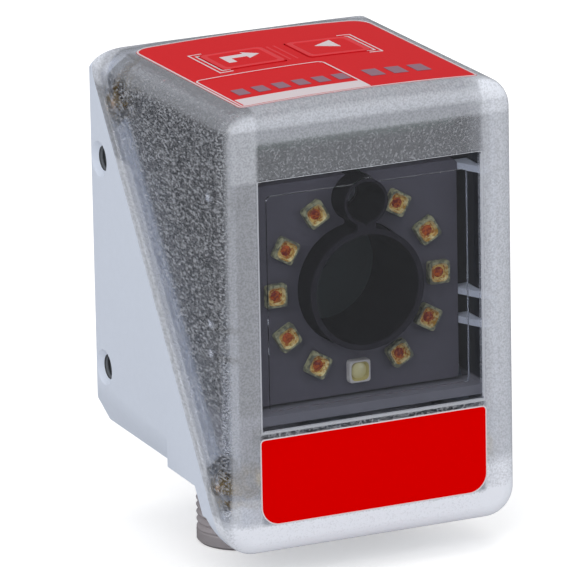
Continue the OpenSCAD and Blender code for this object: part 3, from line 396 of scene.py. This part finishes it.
def finishes(colours):
    """One material for each material slot of the record, apart from the hood's."""
    foil = plain("screen_printed_polyester", colours.foil, 0.45, 0.06, 0.4, Specular_IOR_Level=0.12)
    nickel = plain("nickel_plated_brass", colours.nickel, 0.5, 0.1, 0.8, Metallic=0.6)
    return {
        "cast_paint": powder_coat(colours, [(20.75 * MM, 1.72 * MM), (18.15 * MM, 20.8 * MM), (18.15 * MM, 50 * MM)]),
        "seal_rubber": plain("silicone_seal", srgb("#8E9097"), 0.6),
        "steel": plain("zinc_plated_steel", srgb("#B9BCC0"), 0.3, 0.1, 0.5, Metallic=1.0),
        "brass": plain("turned_brass", srgb("#F2C868"), 0.25, 0.12, 0.5, Metallic=1.0),
        "red_foil": foil,
        "label_red": plain("printed_vinyl", colours.label, 0.6, 0.03, 0.5, Specular_IOR_Level=0.0),
        "lamp_board": plain("matt_solder_mask", colours.board, 0.5, 0.08, 0.5, Specular_IOR_Level=0.3),
        "lamp_gold": plain("lamp_gold", colours.gold, 0.25, 0.1, 0.5, Metallic=1.0),
        "lamp_white": plain("lamp_white", srgb("#E8DFC4"), 0.3),
        "lamp_clear": plain("lamp_clear", srgb("#C7CBD0"), 0.2),
        "black_plastic": tube_moulding(colours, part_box("lens_tube")[0].y),
        "grey_plate": plain("blackened_plate", srgb("#66706D"), 0.5, 0.1, 0.5, Specular_IOR_Level=0.2),
        "lens_glass": plain("coated_glass", srgb("#5E7072"), 0.05),
        "sensor": plain("sensor_glass", srgb("#3B3F55"), 0.1),
        "green_board": plain("green_solder_mask", srgb("#2F5B41"), 0.4),
        "carrier_plastic": liner_moulding(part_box("lamp_board")[0].z),
        "chip": plain("chip_epoxy", srgb("#1B1D20"), 0.5),
        "ribbon": plain("amber_polyimide", srgb("#B97A33"), 0.3),
        "connector_metal": nickel,
        "insert_plastic": plain("black_connector_core", srgb("#24262A"), 0.5),
    }


# Operators


def sizes_of(context):
    return context.scene.reader_sizes


def colours_of(context):
    return context.scene.reader_colours


def finish_named(name):
    """A material made earlier, by name."""
    return bpy.data.materials[name]


class READER_OT_stage(bpy.types.Operator):
    """Camera, lamps, world and pale floor"""

    bl_idname = "reader.stage"
    bl_label = "Stage"

    def execute(self, context):
        self.camera(context)
        self.world(context)
        self.lamps(context)
        self.floor(context)
        context.scene.view_settings.view_transform = "Standard"
        return {"FINISHED"}

    def camera(self, context):
        """Long lens to the left of the front and a little above it, level but for a degree of roll."""
        azimuth, elevation, roll = (math.radians(a) for a in (24.96, 15.99, -1.10))
        back = Vector(
            (
                -math.sin(azimuth) * math.cos(elevation),
                -math.cos(azimuth) * math.cos(elevation),
                math.sin(elevation),
            )
        )
        right = Vector((math.cos(azimuth), -math.sin(azimuth), 0))
        up = back.cross(right)
        turned_right = right * math.cos(roll) + up * math.sin(roll)
        turned_up = up * math.cos(roll) - right * math.sin(roll)
        data = bpy.data.cameras.new("camera")
        data.sensor_width = 36
        data.lens = 494.5
        data.clip_start, data.clip_end = 0.05, 20
        made = bpy.data.objects.new("camera", data)
        turn = Matrix((turned_right, turned_up, back)).transposed().to_4x4()
        made.matrix_world = Matrix.Translation(Vector((-0.424978, -0.907198, 0.321347))) @ turn
        context.scene.collection.objects.link(made)
        context.scene.camera = made

    def world(self, context):
        """White to the camera and through glass, softer as light, and darker still to gloss, as between flags."""
        world = bpy.data.worlds.new("studio")
        context.scene.world = world
        world.use_nodes = True
        tree = world.node_tree
        tree.nodes.clear()
        path = add(tree, "ShaderNodeLightPath").outputs
        clear = maths(tree, "LESS_THAN", path["Diffuse Depth"], 0.5)
        clear = maths(tree, "MULTIPLY", clear, path["Is Transmission Ray"])
        seen = maths(tree, "MAXIMUM", path["Is Camera Ray"], clear)
        strength = remap(tree, seen, 0.0, 1.0, 0.62, 1.0)
        strength = maths(tree, "SUBTRACT", strength, maths(tree, "MULTIPLY", path["Is Glossy Ray"], 0.4))
        shine = add(tree, "ShaderNodeBackground", {"Color": (1, 1, 1, 1), "Strength": strength})
        out = add(tree, "ShaderNodeOutputWorld")
        tree.links.new(shine.outputs[0], out.inputs["Surface"])

    def lamps(self, context):
        """Three softboxes: a key over the left shoulder, a fill on the right and one overhead."""
        aim = Vector((0, 0, 35 * MM))
        for name, place, side, power in (
            ("key", (-0.75, -0.6, 0.75), 0.7, 4.2),
            ("fill", (0.7, -0.8, 0.4), 0.7, 2.2),
            ("top", (0.0, 0.1, 1.1), 0.8, 3.0),
        ):
            data = bpy.data.lights.new(name, "AREA")
            data.size = side
            data.energy = power
            made = bpy.data.objects.new(name, data)
            made.location = place
            made.rotation_mode = "QUATERNION"
            made.rotation_quaternion = (Vector(place) - aim).to_track_quat("Z", "Y")
            context.scene.collection.objects.link(made)

    def floor(self, context):
        """Pale floor whose own white lifts it to the background's white, while shadows stay."""
        made, tree, surface, place = material("paper_sweep", Roughness=0.9)
        path = add(tree, "ShaderNodeLightPath").outputs
        seen = maths(tree, "MAXIMUM", path["Is Camera Ray"], path["Is Transmission Ray"])
        tree.links.new(
            blend(tree, path["Is Glossy Ray"], (0.8, 0.8, 0.8, 1), (0.03, 0.03, 0.03, 1)), surface.inputs["Base Color"]
        )
        surface.inputs["Emission Color"].default_value = (1, 1, 1, 1)
        tree.links.new(remap(tree, seen, 0.0, 1.0, 0.0, 0.4), surface.inputs["Emission Strength"])
        half = 6.0
        x, y = np.meshgrid(np.linspace(-half, half, 2), np.linspace(-half, half, 2))
        points, faces = plate(x, y, np.zeros_like(x), (0, 0, -0.01))
        mesh = bpy.data.meshes.new("floor")
        mesh.from_pydata(points, [], faces)
        mesh.materials.append(made)
        floor = bpy.data.objects.new("floor", mesh)
        context.scene.collection.objects.link(floor)


class READER_OT_finishes(bpy.types.Operator):
    """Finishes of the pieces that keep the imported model's shape"""

    bl_idname = "reader.finishes"
    bl_label = "Finishes"

    def execute(self, context):
        made = finishes(colours_of(context))
        label_low, label_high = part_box("front_label")
        board_low, board_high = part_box("lamp_board")
        made["clear_hood"] = clear_plastic(colours_of(context), *self.zones(label_low.y, board_low, board_high))
        for part in frame["record"]["subparts"]:
            node = frame["nodes"][part["node"]]
            node.data.materials.clear()
            node.data.materials.append(made[part["material_slot"]])
            soften(node, 32)
        return {"FINISHED"}

    def zones(self, front, board_low, board_high):
        """Window field, rim, hazy boxes, seam and cavity of the hood."""
        low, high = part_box("front_hood")
        wall, depth, field = 2.4 * MM, 1.9 * MM, 16.3 * MM
        axis = (board_low.z + board_high.z) / 2
        window = (
            Vector((-field, front - depth, axis - 17 * MM)),
            Vector((field, front + depth + 0.1 * MM, axis + 17 * MM)),
        )
        step = front + 0.5 * MM
        rim = (
            (
                Vector((-field - 0.12 * MM, -1, axis - 17.3 * MM)),
                Vector((field + 0.14 * MM, step, axis + 17.08 * MM)),
            ),
            (
                Vector((-field + 0.12 * MM, -2, axis - 16.9 * MM)),
                Vector((field - 0.14 * MM, 1, axis + 16.95 * MM)),
            ),
        )
        past = Vector((1, 1, 1))
        hazy = [
            (
                Vector((board_high.x - 1 * MM, front + depth + 0.2 * MM, board_low.z)),
                Vector((high.x - wall - 0.1 * MM, board_high.y + 0.2 * MM, board_high.z + 1 * MM)),
                1.0,
            ),
            (Vector((field, -1, 0)), Vector((1, front + 1.3 * MM, 1)), 0.37),
            (Vector((-1, -1, 0)), Vector((-field, front + 0.7 * MM, 1)), 0.34),
            (Vector((-field, -1, high.z - 5 * MM)), Vector((1, front + 3 * MM, 1)), 0.2),
            (Vector((-1, -1, high.z - 3 * MM)), past, 0.2),
            (Vector((-1, -1, axis + 17 * MM)), Vector((field, front + 0.2 * MM, 1)), 0.2),
            (Vector((-1, -1, 0)), Vector((1, 1, low.z + 8 * MM)), 0.18),
            (Vector((field, -1, 0)), Vector((1, 1, low.z + 9 * MM)), 0.12),
            (Vector((-field, -1, 0)), Vector((1, 1, low.z + 4.2 * MM)), 0.56),
            (Vector((-1, -1, 0)), Vector((-field, 1, low.z + 4.2 * MM)), 0.25),
            (
                Vector((-1, front + 0.9 * MM, low.z + 5 * MM)),
                Vector((-15 * MM, front + 7 * MM, low.z + 12 * MM)),
                -0.25,
            ),
            (
                Vector((-1, front + 29 * MM, high.z - 14 * MM)),
                Vector((-15 * MM, front + 41 * MM, high.z - 5 * MM)),
                -0.25,
            ),
        ]
        fall = math.atan2(59.8, 41.1)
        seam = (
            (0, front + 2.2 * MM, low.z),
            (0, -math.sin(fall), math.cos(fall)),
            4.6 * MM,
        )
        inset = 1.5 * MM
        cavity = (
            Vector((-high.x + inset, front + inset, -1)),
            Vector((high.x - inset, 1, high.z - inset)),
        )
        return window, rim, hazy, seam, cavity


class READER_OT_threads(bpy.types.Operator):
    """Threaded connector shells"""

    bl_idname = "reader.threads"
    bl_label = "Threads"

    def execute(self, context):
        sizes = sizes_of(context)
        nickel = finish_named("nickel_plated_brass")
        for name, outer_thread in (("power_shell", True), ("network_shell", False)):
            low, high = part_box(name)
            insert_low, insert_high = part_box(name.replace("shell", "insert"))
            bore = (insert_high.x - insert_low.x) / 2
            centre = (low + high) / 2
            flange_radius = (high.x - low.x) / 2
            barrel = 6.0 * MM if outer_thread else 7.25 * MM
            part = self.sleeve(sizes, centre, barrel, bore, flange_radius, low.z, high.z, outer_thread)
            piece(name + "_threaded", [(*part, 0)], [nickel], "reader", (name,), 40)
        return {"FINISHED"}

    def sleeve(self, sizes, centre, barrel, bore, flange, low, high, outer_thread):
        """Profile of collar, thread, neck, flange and bore carried round the axis; on the threaded stretch the
        radius dips by the thread's depth times a triangle wave of height over pitch less the share of a turn."""
        count = sizes.turns_steps
        angle = np.linspace(0, 2 * np.pi, count, endpoint=False)
        steps = 10
        flange_low = high - 2 * MM
        chamfer = 0.35 * MM
        thread_stop = low + 11.8 * MM
        neck = barrel - 0.2 * MM
        start = low + (sizes.collar if outer_thread else 0.8 * MM)
        stop = thread_stop - chamfer if outer_thread else low + 6.5 * MM
        lift = np.linspace(start, stop, int((stop - start) / sizes.thread_pitch * steps) + 1)

        def wave(z):
            phase = (z[:, None] / sizes.thread_pitch - angle[None, :] / (2 * np.pi)) % 1
            ramp = np.clip(np.minimum(z - start, stop - z) / (0.6 * sizes.thread_pitch), 0, 1)[:, None]
            return np.abs(2 * phase - 1) * ramp * sizes.thread_depth

        rings = []

        def ring(radius, z):
            radius = np.broadcast_to(radius, (count,))
            rings.append(
                np.stack(
                    [centre.x + radius * np.cos(angle), centre.y + radius * np.sin(angle), np.full(count, z)], -1
                )
            )

        ring(bore + chamfer, low)
        ring(barrel - chamfer, low)
        ring(barrel, low + chamfer)
        if outer_thread:
            for dip, z in zip(wave(lift), lift):
                ring(barrel - dip, z)
            ring(neck, thread_stop)
            ring(neck, flange_low)
        else:
            ring(barrel, flange_low)
        ring(flange, flange_low)
        ring(flange, high)
        ring(bore, high)
        if not outer_thread:
            for dip, z in zip(wave(lift)[::-1], lift[::-1]):
                ring(bore + dip, z)
        ring(bore, low + chamfer)
        rings.append(rings[0])
        rings = np.array(rings)
        points = rings[:-1].reshape(-1, 3)
        faces = np.array(loop_faces(len(rings), count)) % len(points)
        return points, faces.tolist()


class READER_OT_lamps(bpy.types.Operator):
    """Ring of lamps on the board, each with its cup and chip"""

    bl_idname = "reader.lamps"
    bl_label = "Lamps"

    def execute(self, context):
        colours = colours_of(context)
        frame_grey = mosaic("lamp_frame_epoxy", "#6E6F58", "#B9B68C", 0.7, Coat_Weight=0.3)
        frame_white = plain("lamp_frame_ceramic", srgb("#E6E0D8"), 0.3, 0.1, 0.3, Coat_Weight=0.5)
        # painted highlights: the cup's pale yellow patches in a mostly diffuse gold stand in for its reflections
        cup_gold_highlights = mosaic("lamp_cup_gold", "#CC9C3A", "#FFF2B0", 0.7, Metallic=0.1)
        # painted reflection: the orange floor is the red chip's glow reflected in the gold, and its pale patches are
        # painted highlights
        floor_chip_reflection = mosaic("lamp_floor_copper", "#C0701C", "#FFDC7C", 0.5, Specular_IOR_Level=0.3)
        floor_cream = plain("lamp_floor_phosphor", srgb("#CDBE6A"), 0.3, 0.15, 0.4, Coat_Weight=1.0)
        cup_cream = plain("lamp_cup_phosphor", srgb("#D8C878"), 0.3, 0.15, 0.5, Coat_Weight=1.0)
        chip_red = mosaic("lamp_chip_red", "#8A1E06", "#D8661A", 0.45, Specular_IOR_Level=0.2)
        chip_yellow = plain("lamp_chip_phosphor", srgb("#F4E9A8"), 0.25, 0.1, 0.4, Coat_Weight=1.0)
        board_low, board_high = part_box("lamp_board")
        axis = (board_low + board_high) / 2
        names = ["white_lamp"] + [f"red_lamp_{n}" for n in range(1, 11)]
        for name in names:
            low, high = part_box(name)
            place = (low + high) / 2
            angle = math.atan2(place.x - axis.x, place.z - axis.z)
            white = name == "white_lamp"
            parts = self.package(sizes_of(context).lamp_side, high.y - low.y, white)
            turn = np.array(
                [[math.cos(angle), 0, math.sin(angle)], [0, 1, 0], [-math.sin(angle), 0, math.cos(angle)]]
            )
            foot = np.array([place.x, high.y, place.z])
            placed = [(points @ turn.T + foot, faces, index) for points, faces, index in parts]
            mats = (
                [frame_white, cup_cream, floor_cream, chip_yellow]
                if white
                else [frame_grey, cup_gold_highlights, floor_chip_reflection, chip_red]
            )
            piece(name + "_package", placed, mats, "reader", (name,), 40)
        return {"FINISHED"}

    def package(self, side, height, white):
        """Rings run from a rounded square up the outside, over the rim, down the cup and in to its floor. The square's
        radius at an angle is half the side over the larger of the angle's cosine and sine. The cup's is its half
        width over the fourth root of the sum of their fourth powers."""
        angle = np.linspace(0, 2 * np.pi, 48, endpoint=False)
        across, along = np.abs(np.cos(angle)), np.abs(np.sin(angle))
        square = np.minimum(0.5 / np.maximum(across, along), 0.66)
        cup = (0.42 if white else 0.4) / (across**4 + along**4) ** 0.25
        profile = [
            (square, 0.0),
            (square, 0.9),
            (square * 0.96, 1.0),
            (cup, 1.0),
            (cup * 0.96, 0.94),
            (cup * 0.78, 0.5),
            (cup * 0.4, 0.46),
        ]
        rings = np.array(
            [
                np.stack([side * r * np.cos(angle), np.full(48, -height * h), side * r * np.sin(angle)], -1)
                for r, h in profile
            ]
        )
        stretches = [turned(rings[:4], True, False), turned(rings[3:6], False, False), turned(rings[5:], False, True)]
        parts = [(points, [face[::-1] for face in faces], n) for n, (points, faces) in enumerate(stretches)]
        half = 0.36 if white else 0.23
        u, v = np.meshgrid(np.linspace(-1, 1, 9), np.linspace(-1, 1, 9))
        bulge = 0.35 if white else 0.22
        wave = 0.12 * np.sin(3.1 * u + 2 * v) if not white else 0
        top = -height * (0.56 + (bulge + wave) * (1 - u**2) * (1 - v**2))
        x, z = u * np.sqrt(1 - v**2 / 2) * side * half, v * np.sqrt(1 - u**2 / 2) * side * half
        points, faces = plate(x, z, top, (0, 0, height * 0.3))
        parts.append((points[:, [0, 2, 1]], [face[::-1] for face in faces], 3))
        return parts


class READER_OT_print(bpy.types.Operator):
    """Printed lines, lamp windows and key symbols on the foil, and the front label with its border"""

    bl_idname = "reader.print"
    bl_label = "Print"

    def execute(self, context):
        self.sizes = sizes_of(context)
        colours = colours_of(context)
        ink = plain("white_ink", colours.white, 0.45, 0.04, 0.4)
        grey = plain("grey_lamp_window", srgb("#94707F"), 0.45, 0.12, 0.4, Specular_IOR_Level=0.2)
        self.foil_marks(ink, grey)
        self.key_marks(ink)
        self.label(ink, finish_named("printed_vinyl"))
        return {"FINISHED"}

    def crown(self, x, lift):
        """Height of the crown at x: the top's arc, raised by lift."""
        radius = self.sizes.crown_radius
        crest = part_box("front_hood")[1].z
        return crest - radius + np.sqrt(radius**2 - x**2) + lift

    def bar(self, x0, x1, y0, y1, lift):
        """Rectangle laid on the crown."""
        x, y = np.meshgrid(np.linspace(x0, x1, 12), np.linspace(y0, y1, 3))
        return (*plate(x * MM, y * MM, self.crown(x * MM, lift), (0, 0, -0.05 * MM)), 0)

    def loop(self, x0, x1, y0, y1, front_radius, rear_radius):
        """Points round a rectangle with round corners, counter-clockwise, as two columns x and y."""
        count, arc = 16, np.linspace(0, np.pi / 2, 9)
        sides = []
        for turn, cx, cy, radius in (
            (0, x1, y1, rear_radius),
            (1, x0, y1, rear_radius),
            (2, x0, y0, front_radius),
            (3, x1, y0, front_radius),
        ):
            angle = arc + turn * np.pi / 2
            hub = (cx - radius if cx == x1 else cx + radius, cy - radius if cy == y1 else cy + radius)
            sides.append(np.stack([hub[0] + radius * np.cos(angle), hub[1] + radius * np.sin(angle)], -1))
        share = np.linspace(0, 1, count, endpoint=False)[1:, None]
        joined = []
        for n, corner in enumerate(sides):
            joined += [corner, corner[-1] + (sides[(n + 1) % 4][0] - corner[-1]) * share]
        return np.concatenate(joined)

    def band(self, profile):
        """Closed band on the crown: loops (x and y in millimetres, with a lift each) joined into a ring."""
        rings = []
        for points, lift in [*profile, profile[0]]:
            x, y = points[:, 0] * MM, points[:, 1] * MM
            rings.append(np.stack([x, y, self.crown(x, lift)], -1))
        rings = np.array(rings)
        count = rings.shape[1]
        points = rings[:-1].reshape(-1, 3)
        faces = np.array(loop_faces(len(rings), count)) % len(points)
        return points, faces.tolist(), 0

    def line(self, x0, x1, y0, y1, front_radius, rear_radius, lift):
        """Printed line along the inside of a rectangle with round corners."""
        width = self.sizes.print_width / MM
        outer = self.loop(x0, x1, y0, y1, front_radius, rear_radius)
        inner_radii = (max(front_radius - width, 0.05), max(rear_radius - width, 0.05))
        inner = self.loop(x0 + width, x1 - width, y0 + width, y1 - width, *inner_radii)
        low = lift - 0.05 * MM
        return self.band([(outer, low), (outer, lift), (inner, lift), (inner, low)])

    def sheet(self, outline, lift):
        """Flat shape on the crown from the corners of its outline, counter-clockwise, in millimetres."""
        x, y = np.array(outline).T * MM
        top = np.stack([x, y, self.crown(x, lift)], -1)
        points = np.concatenate([top, top - np.array([0, 0, 0.05 * MM])])
        count = len(outline)
        around = [(i, i + count, (i + 1) % count + count, (i + 1) % count) for i in range(count)]
        return points, [list(range(count)), list(range(2 * count - 1, count - 1, -1)), *around], 0

    def foil_marks(self, ink, grey):
        """Border of the foil, frame and strip of the six lamps, and the windows of all nine."""
        low, high = (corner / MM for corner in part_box("top_foil"))
        lift = self.sizes.print_lift
        edge = 0.06
        parts = [self.line(low.x + edge, high.x - edge, low.y + edge, high.y - edge, 0.75, 2.55, lift)]
        frame_x, frame_y = (low.x + 0.5, low.x + 19.2), (low.y + 0.5, low.y + 15.5)
        parts.append(self.line(*frame_x, *frame_y, 0.3, 1.0, lift))
        strip_length = 3.3
        parts.append(self.bar(frame_x[0] + 0.5, frame_x[1], frame_y[0] + 0.1, frame_y[0] + strip_length, lift))
        for key, side in (("enter_key", -1), ("down_key", 1)):
            parts += self.bracket([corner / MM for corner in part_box(key)], side, lift)
        piece("foil_print", parts, [ink], "reader")
        windows = []
        for n in range(1, 10):
            a, b = (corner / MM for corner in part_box(f"status_lamp_{n}"))
            x, y = (a.x + b.x) / 2, (a.y + b.y) / 2
            half_x, half_y = (0.88, 1.4) if n <= 6 else (1.05, 1.7)
            windows.append(self.bar(x - half_x, x + half_x, y - half_y, y + half_y, lift))
        piece("lamp_windows", windows, [grey], "reader")

    def bracket(self, box, side, lift):
        """Outlined square bracket along a key's outer edge: an outer and an inner line, joined at the two ends."""
        a, b = box
        line = 0.22
        band = self.sizes.bracket_width / MM
        inner = (a.x if side < 0 else b.x) + side * 0.2
        outer = inner + side * band
        tip = inner - side * 1.1
        y0, y1 = a.y - 0.1 - band, b.y + 0.1 + band

        def stroke(xa, xb, ya, yb):
            return self.bar(min(xa, xb), max(xa, xb), ya, yb, lift)

        return [
            stroke(outer, outer - side * line, y0, y1),
            stroke(inner + side * line, inner, y0 + band, y1 - band),
            stroke(outer - side * line, tip, y0, y0 + line),
            stroke(outer - side * line, tip, y1 - line, y1),
            stroke(inner, tip, y0 + band, y0 + band + line),
            stroke(inner, tip, y1 - band - line, y1 - band),
        ]

    def key_marks(self, ink):
        """Return arrow on the left key, triangle on the right one, and the embossed bead round both; the bead and two
        raised lines between the keys are a lighter red, as a painted highlight.
        """
        # painted highlight: a lighter red than the foil, for the gloss on the embossing
        red = plain("embossed_polyester", srgb("#DE343C"), 0.4, 0.06, 0.4, Specular_IOR_Level=0.3)
        for key, symbol, outline in (
            (
                "enter_key",
                "return_symbol",
                [(-2.55, -1.45), (-1.4, -1.45), (-1.4, 0.45), (0.85, 0.45), (0.85, -0.6), (2.9, 0.95), (0.85, 2.7)]
                + [(0.85, 1.85), (-2.55, 1.85)],
            ),
            ("down_key", "next_symbol", [(-1.6, 0.9), (1.55, -0.75), (1.55, 3.05)]),
        ):
            a, b = (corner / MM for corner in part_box(key))
            x, y = (a.x + b.x) / 2, (a.y + b.y) / 2
            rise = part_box(key)[1].z - self.crown(min(abs(a.x), abs(b.x)) * MM, 0.0)
            placed = [(x + dx, y + dy) for dx, dy in outline]
            piece(symbol, [self.sheet(placed, rise + 0.02 * MM)], [ink], key)
            piece(key + "_bead", [self.bead(a, b, rise)], [red], key, smooth=60)
        low, high = (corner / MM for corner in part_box("enter_key"))
        # painted highlights: two lighter red lines between the keys for the light on the embossed ridge
        ridge_highlights = [self.bar(x, x + 0.3, low.y + 0.3, high.y - 0.3, 0.03 * MM) for x in (-1.5, -0.45)]
        piece("foil_ridge_highlights", ridge_highlights, [red], "reader")

    def bead(self, a, b, rise):
        """Low round bead along a key's edge: its height over the key is an arc of the share across its width."""
        width = self.sizes.bead_width / MM
        profile = []
        for share in np.linspace(0, 1, 7):
            inset = 0.05 + width * share
            points = self.loop(a.x + inset, b.x - inset, a.y + inset, b.y - inset, 0.9 - share * 0.3, 0.9 - share * 0.3)
            profile.append((points, rise + 0.07 * MM * math.sin(math.pi * share) - 0.01 * MM))
        return self.band(profile)

    def label(self, ink, red):
        """Red field inside a thin white border: rings of a rounded rectangle, round below and nearly square above."""
        low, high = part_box("front_label")
        count = 25

        def ring(inset, y):
            corners = []
            arc = np.linspace(0, np.pi / 2, count)
            for cx, cz, radius, turn in (
                (high.x, high.z, 0.7 * MM, 0),
                (low.x, high.z, 0.7 * MM, 1),
                (low.x, low.z, 2.7 * MM, 2),
                (high.x, low.z, 2.7 * MM, 3),
            ):
                side = (1 if cx > 0 else -1, 1 if cz == high.z else -1)
                a = arc + turn * np.pi / 2
                r = radius - inset
                corners.append(
                    np.stack(
                        [
                            cx - side[0] * radius + r * np.cos(a),
                            np.full(count, y),
                            cz - side[1] * radius + r * np.sin(a),
                        ],
                        -1,
                    )
                )
            return np.concatenate(corners)

        front, back = low.y, high.y
        step = 0.02 * MM
        border = np.array(
            [ring(0.0, back), ring(0.0, front), ring(0.17 * MM, front), ring(0.17 * MM, front + step)]
        )
        border_part = turned(border, True, False)
        field_part = turned(np.array([ring(0.17 * MM, front + step), ring(0.6 * MM, front + step)]), False, True)
        piece(
            "label_print",
            [(*border_part, 0), (*field_part, 1)],
            [ink, red],
            "reader",
            ("front_label",),
        )


class READER_PT_sidebar(bpy.types.Panel):
    """Lists the reader's operators"""

    bl_idname = "READER_PT_sidebar"
    bl_label = "Barcode reader"
    bl_space_type = "VIEW_3D"
    bl_region_type = "UI"
    bl_category = "Barcode reader"

    def draw(self, context):
        for operator in OPERATORS:
            self.layout.operator(operator.bl_idname)


OPERATORS = (
    READER_OT_stage,
    READER_OT_finishes,
    READER_OT_threads,
    READER_OT_lamps,
    READER_OT_print,
)
CLASSES = (ReaderSizes, ReaderColours, *OPERATORS, READER_PT_sidebar)


def register():
    for made in CLASSES:
        bpy.utils.register_class(made)
    bpy.types.Scene.reader_sizes = PointerProperty(type=ReaderSizes)
    bpy.types.Scene.reader_colours = PointerProperty(type=ReaderColours)


def unregister():
    del bpy.types.Scene.reader_colours
    del bpy.types.Scene.reader_sizes
    for made in reversed(CLASSES):
        bpy.utils.unregister_class(made)


def main():
    register()
    bpy.ops.reader.stage()
    bpy.ops.reader.finishes()
    bpy.ops.reader.threads()
    bpy.ops.reader.lamps()
    bpy.ops.reader.print()


if __name__ == "__main__":
    main()
